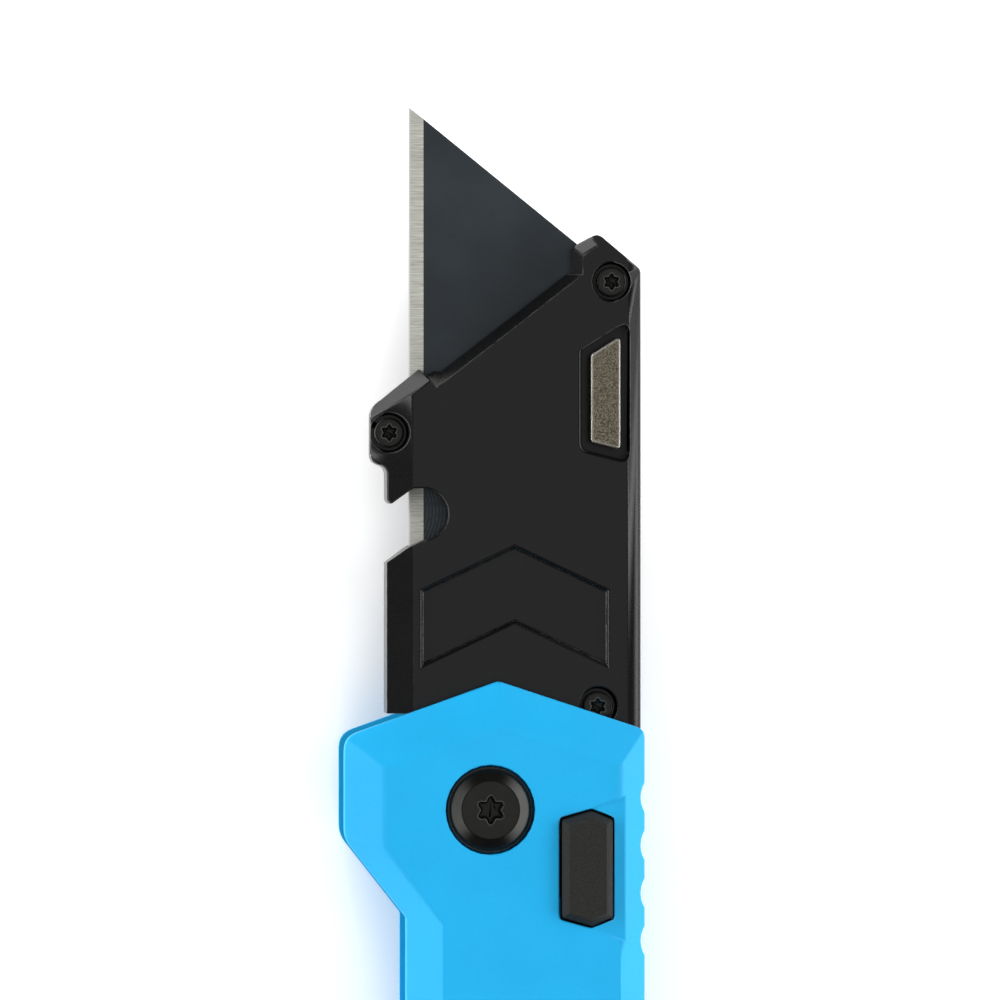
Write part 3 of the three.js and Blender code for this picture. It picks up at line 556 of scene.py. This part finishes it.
def strays(data, surface, widest):
    """Points of a rounded mesh that left the surface it had, or where a face folded over."""
    limit = STRAY * widest + STRAY_SLACK
    found = [vert.co.copy() for vert in data.vertices
             if surface.find_nearest(vert.co)[3] > limit]
    mesh = bmesh.new()
    mesh.from_mesh(data)
    for corners in mesh.calc_loop_triangles():
        a, b, c = (loop.vert.co for loop in corners)
        turned = (b - a).cross(c - a)
        face = corners[0].face
        if turned.length < SLIVER or turned.normalized().dot(face.normal) > FACING:
            continue
        found += [loop.vert.co.copy() for loop in face.loops
                  if len(face.verts) < SMALL_FACE or loop.calc_angle() < SPIKE]
    mesh.free()
    return found


def round_edges(piece, widest, share, segments=3):
    """Rounds each edge by its share of the widest, and spares those whose rounding goes wrong."""
    plain = piece.data
    spared = set()
    reach = widest + 0.2 * MM  # a stray point blames the rounded edges this near to it
    for _ in range(TRIES):
        piece.data = plain.copy()
        mesh = bmesh.new()
        mesh.from_mesh(plain)
        surface = BVHTree.FromBMesh(mesh)
        weight = mesh.edges.layers.float.new("bevel_weight_edge")
        for edge in mesh.edges:
            if len(edge.link_faces) == 2 and edge.index not in spared:
                edge[weight] = share(edge, math.degrees(edge.calc_face_angle(0.0)))
        spare_slides(mesh, weight)
        rounded = {edge.index: (edge.verts[0].co.copy(), edge.verts[1].co.copy())
                   for edge in mesh.edges if edge[weight] > 0}
        mesh.to_mesh(piece.data)
        mesh.free()
        apply(piece, "BEVEL", width=widest, segments=segments, limit_method="WEIGHT",
              use_clamp_overlap=False, miter_outer="MITER_SHARP")
        wrong = strays(piece.data, surface, widest)
        faulty = {index for index, ends in rounded.items()
                  if any(near(spot, ends) < reach for spot in wrong)}
        if not faulty:
            break
        spared |= faulty
    take(piece)
    bpy.ops.object.shade_smooth_by_angle(angle=math.radians(SMOOTH))
    apply(piece, "WEIGHTED_NORMAL", keep_sharp=True, weight=80)


def near(spot, ends):
    """How far a spot is from the edge between two ends."""
    at, share = intersect_point_line(spot, *ends)
    return (spot - ends[0].lerp(ends[1], min(max(share, 0.0), 1.0))).length


def round_sharp(piece, width, segments=3, above=25):
    """Rounds every edge that turns by more than an angle, all alike."""
    round_edges(piece, width, lambda edge, angle: 1.0 if angle > above else 0.0, segments)


def placed(piece, name, at, flip=False):
    """A copy of a piece with its own mesh, set at a place and, if asked, turned over."""
    copy = bpy.data.objects.new(name, piece.data.copy())
    bpy.context.scene.collection.objects.link(copy)
    copy.location = at
    copy.rotation_euler = (math.pi if flip else 0.0, 0.0, 0.0)
    take(copy)
    bpy.ops.object.transform_apply(location=True, rotation=True, scale=True)
    return copy


def discard(piece):
    bpy.data.objects.remove(piece)


def lobed_socket(shaping, z, radius, depth, sides):
    """Turns the cap at height z, a circle of the radius, into a six-lobed socket."""
    steps = sides // 12
    waist = 0.69  # the radius between two lobes, as a share of the radius at them
    border, cone = 0.3 * radius, 0.18 * depth
    same_height, same_radius = 0.002 * MM, 0.04 * MM
    for step in range(steps + 1):
        turn = 30 / steps * step
        shrink = (1 + waist + (1 - waist) * math.cos(math.radians(6 * turn))) / 2

        def at_turn(vert, turn=turn):
            angle = math.degrees(math.atan2(vert.co.x, vert.co.y)) % 60
            angle = min(angle, 60 - angle)
            return (abs(angle - turn) < 0.5 and abs(vert.co.z - z) < same_height
                    and abs(vert.co.xy.length - radius) < same_radius)

        shaping.pick("VERT", at_turn)
        bpy.ops.transform.resize(value=(shrink, shrink, 1), center_override=(0, 0, z))
    inside = radius + 0.01 * MM
    shaping.pick("FACE", lambda face: face.normal.z > shaping.UPRIGHT
                 and abs(face.calc_center_median().z - z) < same_height
                 and all(vert.co.xy.length < inside for vert in face.verts))
    shaping.draw(-depth)
    bpy.ops.mesh.inset(thickness=border, depth=0)
    bpy.ops.transform.translate(value=(0, 0, -cone))


def turn_screw(name, head, shank, flat, drive, thickness, length, chamfer, edge, sides=48,
               rim=0.0):
    """A screw with its head's face at z 0 and its tip below. Sizes across are radii."""
    socket = 0.68 * thickness
    taper, tip = 0.3 * shank, 0.7
    bpy.ops.object.select_all(action="DESELECT")
    bpy.ops.mesh.primitive_cylinder_add(
        vertices=sides, radius=head, depth=thickness - chamfer,
        location=(0, 0, -(thickness + chamfer) / 2))
    piece = bpy.context.object
    piece.name = name
    bpy.ops.object.transform_apply(location=True, rotation=True, scale=True)
    with Shaping(piece) as shape:
        shape.cap(-chamfer)
        if rim:
            shape.inset(rim)
        shape.inset(head - rim - flat, chamfer)
        bpy.ops.mesh.inset(thickness=flat - drive, depth=0)
        lobed_socket(shape, 0.0, drive, socket, sides)
        shape.cap(-thickness, up=False)
        shape.inset(head - shank)
        shape.draw(-(length - thickness - taper))
        bpy.ops.mesh.extrude_region_move()
        bpy.ops.transform.resize(value=(tip, tip, 1), center_override=(0, 0, 0))
        bpy.ops.transform.translate(value=(0, 0, -taper))

    def share(rim_edge, angle):
        """Full rounding on the head's rims and round its flat, none inside them."""
        reach = min(vert.co.xy.length for vert in rim_edge.verts)
        return 1.0 if angle > 20 and level(rim_edge) and reach > 0.97 * flat else 0.0

    round_edges(piece, edge, share, 2)
    return piece


def turn_ring(name, inner, outer, low, high, at, edge, sides=72):
    """A flat ring: a disc whose middle is opened through."""
    bpy.ops.object.select_all(action="DESELECT")
    bpy.ops.mesh.primitive_cylinder_add(
        vertices=sides, radius=outer, depth=high - low, location=(at.x, at.y, (low + high) / 2))
    piece = bpy.context.object
    piece.name = name
    bpy.ops.object.transform_apply(location=True, rotation=True, scale=True)
    with Shaping(piece) as shape:
        shape.pick("FACE", lambda face: abs(face.normal.z) > 0.9)
        bpy.ops.mesh.inset(thickness=outer - inner, depth=0)
        bpy.ops.mesh.bridge_edge_loops()
    round_sharp(piece, edge, 2)
    return piece


# ---------------------------------------------------------------- materials shared by pieces

FINISHES = {}


def finish(name):
    """The finished material of that name, made the first time it is asked for."""
    if name not in FINISHES:
        colours = bpy.context.scene.knife_colours
        makers = {
            "paint": lambda: powder_paint(colours.paint),
            "coat": lambda: satin_coat(colours.coat),
            "oxide": lambda: black_oxide(colours.oxide),
            "blade": lambda: blade_steel(colours.blade, colours.ground),
            "nickel": lambda: nickel(colours.plate),
            "plastic": lambda: moulded_plastic(colours.button),
            "spring": lambda: rolled_metal("spring_steel", hex_colour("a9adb0"), (1, 12, 1), 0.7),
            "bronze": lambda: rolled_metal("bronze", hex_colour("b18a4e"), (4, 4, 1), 0.55),
        }
        FINISHES[name] = makers[name]()
    return FINISHES[name]


def level(edge):
    return abs(edge.verts[0].co.z - edge.verts[1].co.z) < SAME_HEIGHT


def depth_of(edge):
    """How far an edge lies from the blade's middle plane, towards either face."""
    return abs((edge.verts[0].co.z + edge.verts[1].co.z) / 2 - MIDDLE_Z)


def scale_share(sizes):
    """The rule for a scale's edges: full rounding on its creases, less on the rest."""
    less = sizes.scale_edge / sizes.scale_crease
    face = FACE_Z - MIDDLE_Z
    inside = face - 3.3 * MM  # edges deeper than this are out of sight

    def share(edge, angle):
        if angle < 16 or depth_of(edge) < inside:
            return 0.0
        if level(edge) and abs(depth_of(edge) - face) < SAME_HEIGHT and 20 < angle < 60:
            return 1.0
        return less if angle > 24 else 0.0
    return share


def carrier_share(sizes):
    """The rule for a carrier half's edges: wide round the release plate's recess."""
    crease = sizes.carrier_crease / sizes.recess_edge
    less = sizes.carrier_edge / sizes.recess_edge
    chevron = sizes.chevron_edge / sizes.recess_edge
    recess_mouth = 0.7
    face = 3.5 * MM
    inside = 0.6 * MM  # edges deeper than this are out of sight
    chevron_low, chevron_high = PIVOT.y + 12 * MM, PIVOT.y + 27 * MM
    chevron_side = 3 * MM  # the shortest of the chevron's edges
    low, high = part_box("release_button")
    margin = 1.6 * MM  # how far round the release plate its recess reaches

    def share(edge, angle):
        if angle < 18 or depth_of(edge) < inside:
            return 0.0
        middle = (edge.verts[0].co + edge.verts[1].co) / 2
        recess = (low.x - margin < middle.x < high.x + margin
                  and low.y - margin < middle.y < high.y + margin)
        if level(edge) and abs(depth_of(edge) - face) < SAME_HEIGHT:
            if recess:
                return recess_mouth
            if angle < 60:
                return crease
            if chevron_low < middle.y < chevron_high and edge.calc_length() > chevron_side:
                return chevron
        if recess:
            return less if angle > 50 and not level(edge) else 0.0
        return less
    return share


class KNIFE_OT_scales(bpy.types.Operator):
    """Front and back handle scales, with rounded creases and rims, in powder paint"""

    bl_idname = "knife.scales"
    bl_label = "Handle scales"

    def execute(self, context):
        sizes = context.scene.knife_sizes
        for node in ("front_scale", "back_scale"):
            piece = cast_from(node, node.replace("_scale", "_handle_scale"))
            round_edges(piece, sizes.scale_crease, scale_share(sizes))
            settle(piece, finish("paint"), "handle", "blue_paint", node)
        return {"FINISHED"}


class KNIFE_OT_spacer(bpy.types.Operator):
    """The steel spacer between the scales along the spine"""

    bl_idname = "knife.spacer"
    bl_label = "Spine spacer"

    def execute(self, context):
        piece = cast_from("spine_spacer", "spine_spacer_bar")
        round_sharp(piece, context.scene.knife_sizes.spacer_edge, above=40)
        settle(piece, finish("oxide"), "handle", "black_steel", "spine_spacer")
        return {"FINISHED"}


class KNIFE_OT_pivot(bpy.types.Operator):
    """The pivot screw and its nut: bevelled heads with six-lobed sockets"""

    bl_idname = "knife.pivot"
    bl_label = "Pivot"

    # the head that both have
    HEAD = {"head": 4.3 * MM, "flat": 2.9 * MM, "drive": 1.45 * MM, "thickness": 1.9 * MM,
            "chamfer": 0.9 * MM, "rim": 0.25 * MM, "sides": 96}
    BOLT, BARREL = 1.3 * MM, 2.5 * MM
    WALL, BORE = 1.0 * MM, 8.6 * MM  # the barrel's wall, and how deep it is bored
    MOUTH = 1.3  # how far the barrel's narrowed end is opened out again

    def execute(self, context):
        edge = context.scene.knife_sizes.screw_edge
        proud = context.scene.knife_sizes.pivot_proud
        low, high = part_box("pivot_screw")
        screw = turn_screw("pivot_screw_turned", shank=self.BOLT,
                           length=high.z + proud - low.z, edge=edge, **self.HEAD)
        piece = placed(screw, "pivot_bolt", Vector((PIVOT.x, PIVOT.y, high.z + proud)))
        settle(piece, finish("oxide"), "handle", "black_steel", "pivot_screw")
        discard(screw)
        low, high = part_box("pivot_nut")
        nut = turn_screw("pivot_nut_turned", shank=self.BARREL,
                         length=high.z + proud - low.z, edge=edge, **self.HEAD)
        with Shaping(nut) as shape:
            tip = min(vert.co.z for vert in bmesh.from_edit_mesh(nut.data).verts)
            shape.cap(tip, up=False)
            bpy.ops.transform.resize(value=(self.MOUTH, self.MOUTH, 1),
                                     center_override=(0, 0, 0))
            shape.inset(self.WALL)
            shape.draw(self.BORE)
        piece = placed(nut, "pivot_barrel_nut", Vector((PIVOT.x, PIVOT.y, low.z - proud)), True)
        settle(piece, finish("oxide"), "handle", "black_steel", "pivot_nut")
        discard(nut)
        return {"FINISHED"}


class KNIFE_OT_washers(bpy.types.Operator):
    """The two bronze thrust washers beside the tang"""

    bl_idname = "knife.washers"
    bl_label = "Washers"

    INNER, OUTER = 2.65 * MM, 8.0 * MM

    def execute(self, context):
        edge = context.scene.knife_sizes.washer_edge
        for node in ("front_washer", "back_washer"):
            low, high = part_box(node)
            piece = turn_ring(node + "_ring", self.INNER, self.OUTER, low.z, high.z, PIVOT, edge)
            settle(piece, finish("bronze"), "handle", "bronze", node)
        return {"FINISHED"}


class KNIFE_OT_screws(bpy.types.Operator):
    """Every small six-lobed screw, turned anew for each of its places and set there"""

    bl_idname = "knife.screws"
    bl_label = "Screws"

    # nodes; radius in mm of head, shank, flat and socket; the head's thickness and chamfer;
    # whether it faces the back
    KINDS = (
        (("handle_screw_1", "handle_screw_2", "handle_screw_3"),
         1.95, 1.2, 1.75, 1.1, 1.25, 0.12, False),
        (("clip_screw_1", "clip_screw_2"), 1.9, 1.1, 1.55, 1.0, 0.8, 0.18, True),
        (("lock_spring_screw",), 1.9, 1.1, 1.55, 1.0, 0.8, 0.18, False),
        (("carrier_screw_ear", "carrier_screw_hook", "carrier_screw_tang"),
         1.5, 0.8, 1.32, 0.88, 1.15, 0.1, False),
        (("catch_spring_screw",), 1.3, 0.7, 1.05, 0.7, 0.6, 0.14, False),
    )

    def execute(self, context):
        edge = context.scene.knife_sizes.screw_edge
        bodies = frame["record"]["behaviour"]["bodies"]
        for nodes, head, shank, flat, drive, thickness, chamfer, flip in self.KINDS:
            for node in nodes:
                low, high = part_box(node)
                model = turn_screw("screw_model", head * MM, shank * MM, flat * MM, drive * MM,
                                   thickness * MM, high.z - low.z, chamfer * MM, edge)
                at = (low + high) / 2
                at.z = low.z if flip else high.z
                piece = placed(model, node + "_turned", at, flip)
                body = next(name for name, members in bodies.items() if node in members)
                settle(piece, finish("oxide"), body, "black_steel", node)
                discard(model)
        return {"FINISHED"}


class KNIFE_OT_lock(bpy.types.Operator):
    """The textured lock button and the leaf spring behind it"""

    bl_idname = "knife.lock"
    bl_label = "Lock"

    def execute(self, context):
        sizes = context.scene.knife_sizes
        button = cast_from("lock_button", "lock_button_cap")
        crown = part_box("lock_button")[1].z - 0.7 * MM
        below = 0.14  # the share of the rounding that edges under the crown get

        def share(edge, angle):
            if angle < 20:
                return 0.0
            return 1.0 if min(vert.co.z for vert in edge.verts) > crown else below

        round_edges(button, sizes.button_edge, share)
        settle(button, finish("plastic"), "lock_button", "button_plastic", "lock_button")
        spring = cast_from("lock_spring", "lock_leaf")
        round_sharp(spring, sizes.lock_leaf_edge, 2)
        settle(spring, finish("spring"), "handle", "spring_steel", "lock_spring")
        return {"FINISHED"}


class KNIFE_OT_clip(bpy.types.Operator):
    """The sprung belt clip on the back"""

    bl_idname = "knife.clip"
    bl_label = "Belt clip"

    def execute(self, context):
        clip = cast_from("belt_clip", "belt_clip_spring")
        round_sharp(clip, context.scene.knife_sizes.clip_edge)
        settle(clip, finish("oxide"), "handle", "black_steel", "belt_clip")
        return {"FINISHED"}


class KNIFE_OT_carrier(bpy.types.Operator):
    """The two halves of the blade carrier, edges rounded, in satin black"""

    bl_idname = "knife.carrier"
    bl_label = "Blade carrier"

    def execute(self, context):
        sizes = context.scene.knife_sizes
        for node in ("carrier_front", "carrier_back"):
            piece = cast_from(node, node + "_half")
            round_edges(piece, sizes.recess_edge, carrier_share(sizes))
            settle(piece, finish("coat"), "carrier", "black_coat", node)
        return {"FINISHED"}


class KNIFE_OT_release(bpy.types.Operator):
    """The nickel release plate and the leaf that catches the blade"""

    bl_idname = "knife.release"
    bl_label = "Blade release"

    def execute(self, context):
        sizes = context.scene.knife_sizes
        plate = cast_from("release_button", "release_plate")
        rim = 0.4  # the share of the rounding that level edges get

        def share(edge, angle):
            if angle < 40:
                return 0.0
            return rim if level(edge) else 1.0

        round_edges(plate, sizes.plate_edge, share)
        settle(plate, finish("nickel"), "release_button", "nickel", "release_button")
        leaf = cast_from("catch_spring", "catch_leaf")
        round_sharp(leaf, sizes.catch_leaf_edge, 2)
        settle(leaf, finish("spring"), "carrier", "spring_steel", "catch_spring")
        return {"FINISHED"}


class KNIFE_OT_blade(bpy.types.Operator):
    """The blade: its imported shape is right, so it gets its steel"""

    bl_idname = "knife.blade"
    bl_label = "Blade"

    def execute(self, context):
        for mesh_slot in frame["nodes"]["blade"].material_slots:
            mesh_slot.link = "OBJECT"
            mesh_slot.material = finish("blade")
        return {"FINISHED"}


# ---------------------------------------------------------------- stage


def softbox(name, place, aim, size, power):
    """A rectangular area light at a place, facing another. Neither lens nor mirror sees it."""
    light = bpy.data.lights.new(name, "AREA")
    light.shape = "RECTANGLE"
    light.size, light.size_y = size
    light.energy = power
    made = bpy.data.objects.new(name, light)
    bpy.context.scene.collection.objects.link(made)
    made.location = place
    made.rotation_euler = (Vector(aim) - Vector(place)).to_track_quat("-Z", "Y").to_euler()
    made.visible_camera = False
    made.visible_glossy = False


class KNIFE_OT_stage(bpy.types.Operator):
    """A pale floor, two softboxes, a dim room with bright bands, and the camera overhead"""

    bl_idname = "knife.stage"
    bl_label = "Stage"

    AIM = (0.0, 0.035)  # the point on the front face that the softboxes face
    TARGET = (0.95 * MM, 31.0 * MM)  # the point that the camera faces, from the pivot
    GAP = 0.3 * MM  # between the floor and what lies on it
    PAINTED_SHADOW_REACH = 20 * MM  # how far beside the knife the floor's glow is cut back into a painted shadow

    # each softbox's place from the point it faces, and its width and height, in metres
    RIGHT = (Vector((0.6, 0.0, 0.3)), (0.7, 0.5))
    LEFT = (Vector((-0.56, 0.15, 0.22)), (0.6, 0.15))

    # the room's brightness away from its bands, and where a band begins and ends: the heights
    # go from 0 at the horizon to 1 overhead, and the walls' sides from 0 ahead to 1 aside
    DIM = 0.03
    BAND_FOOT, BAND_HEAD = (0.14, 0.3), (0.38, 0.56)
    SIDES = (0.45, 0.85)
    OVERHEAD = (0.82, 0.97)

    def execute(self, context):
        stage = context.scene.knife_stage
        bpy.ops.object.select_all(action="DESELECT")
        bpy.ops.mesh.primitive_plane_add(size=stage.floor_size, location=(0, 0, -self.GAP))
        floor = context.object
        floor.name = "studio_floor"
        bpy.ops.object.transform_apply(location=True, rotation=True, scale=True)
        f = Finish("pale_floor")
        cloud = f.noise(0.4, 2.0)
        # painted shadow: the floor's glow is cut back close beside the knife, by how much of the
        # knife is near
        glow_beyond_painted_shadow = f.node("ShaderNodeAmbientOcclusion", {"samples": 8},
                          {"Distance": self.PAINTED_SHADOW_REACH}, "AO").between(0.45, 0.62)
        floor.data.materials.append(f.done(
            Base_Color=f.mix(cloud, (0.86, 0.86, 0.86), (0.9, 0.9, 0.9)),
            Roughness=0.75 + 0.1 * cloud, Emission_Color=f.mix(glow_beyond_painted_shadow, (0, 0, 0), (1, 1, 1)),
            Emission_Strength=stage.floor_glow))

        world = bpy.data.worlds.new("studio_room")
        context.scene.world = world
        room = Graph(world)
        way = room.node("ShaderNodeTexCoord", output="Generated")
        height = room.node("ShaderNodeSeparateXYZ", None, {0: way}, "Z")
        aside = abs(room.node("ShaderNodeSeparateXYZ", None, {0: way}, "X"))
        band = height.between(*self.BAND_FOOT) * (1.0 - height.between(*self.BAND_HEAD))
        walls = stage.surround * (band * aside.between(*self.SIDES))
        overhead = stage.ceiling * height.between(*self.OVERHEAD)
        room.close("ShaderNodeOutputWorld", room.node("ShaderNodeBackground", None, {
            "Color": (1, 1, 1, 1), "Strength": self.DIM + walls + overhead}))

        aim = Vector((*self.AIM, FACE_Z))
        softbox("softbox_right", aim + self.RIGHT[0], aim, self.RIGHT[1], stage.right_light)
        softbox("softbox_left", aim + self.LEFT[0], aim, self.LEFT[1], stage.left_light)

        target = Vector((PIVOT.x + self.TARGET[0], PIVOT.y + self.TARGET[1], FACE_Z))
        camera = bpy.data.cameras.new("camera")
        camera.lens = stage.lens
        camera.sensor_width = 36.0
        camera.clip_start = 0.01
        made = bpy.data.objects.new("camera", camera)
        context.scene.collection.objects.link(made)
        made.location = target + Vector((-stage.sideways, 0.0, math.sqrt(
            stage.distance ** 2 - stage.sideways ** 2)))
        back = (made.location - target).normalized()
        right = Vector((0, 1, 0)).cross(back).normalized()
        made.rotation_euler = Matrix((right, back.cross(right), back)).transposed().to_euler()
        context.scene.camera = made
        context.scene.view_settings.view_transform = "Standard"
        return {"FINISHED"}


# ---------------------------------------------------------------- panel and main


OPERATORS = (
    KNIFE_OT_scales, KNIFE_OT_spacer, KNIFE_OT_pivot, KNIFE_OT_washers, KNIFE_OT_screws,
    KNIFE_OT_lock, KNIFE_OT_clip, KNIFE_OT_carrier, KNIFE_OT_release, KNIFE_OT_blade,
    KNIFE_OT_stage,
)


class KNIFE_PT_panel(bpy.types.Panel):
    """The knife's sizes, colours and steps"""

    bl_idname = "KNIFE_PT_panel"
    bl_label = "Folding knife"
    bl_space_type = "VIEW_3D"
    bl_region_type = "UI"
    bl_category = "Knife"

    def draw(self, context):
        for group in (context.scene.knife_sizes, context.scene.knife_colours,
                      context.scene.knife_stage):
            box = self.layout.box()
            for name in group.bl_rna.properties.keys():
                if name not in ("rna_type", "name"):
                    box.prop(group, name)
        for step in OPERATORS:
            self.layout.operator(step.bl_idname)


CLASSES = (KnifeSizes, KnifeColours, KnifeStage, *OPERATORS, KNIFE_PT_panel)


def register():
    for each in CLASSES:
        bpy.utils.register_class(each)
    bpy.types.Scene.knife_sizes = PointerProperty(type=KnifeSizes)
    bpy.types.Scene.knife_colours = PointerProperty(type=KnifeColours)
    bpy.types.Scene.knife_stage = PointerProperty(type=KnifeStage)


def unregister():
    del bpy.types.Scene.knife_stage
    del bpy.types.Scene.knife_colours
    del bpy.types.Scene.knife_sizes
    for each in reversed(CLASSES):
        bpy.utils.unregister_class(each)


def main():
    register()
    for step in OPERATORS:
        group, name = step.bl_idname.split(".")
        getattr(getattr(bpy.ops, group), name)()


if __name__ == "__main__":
    main()
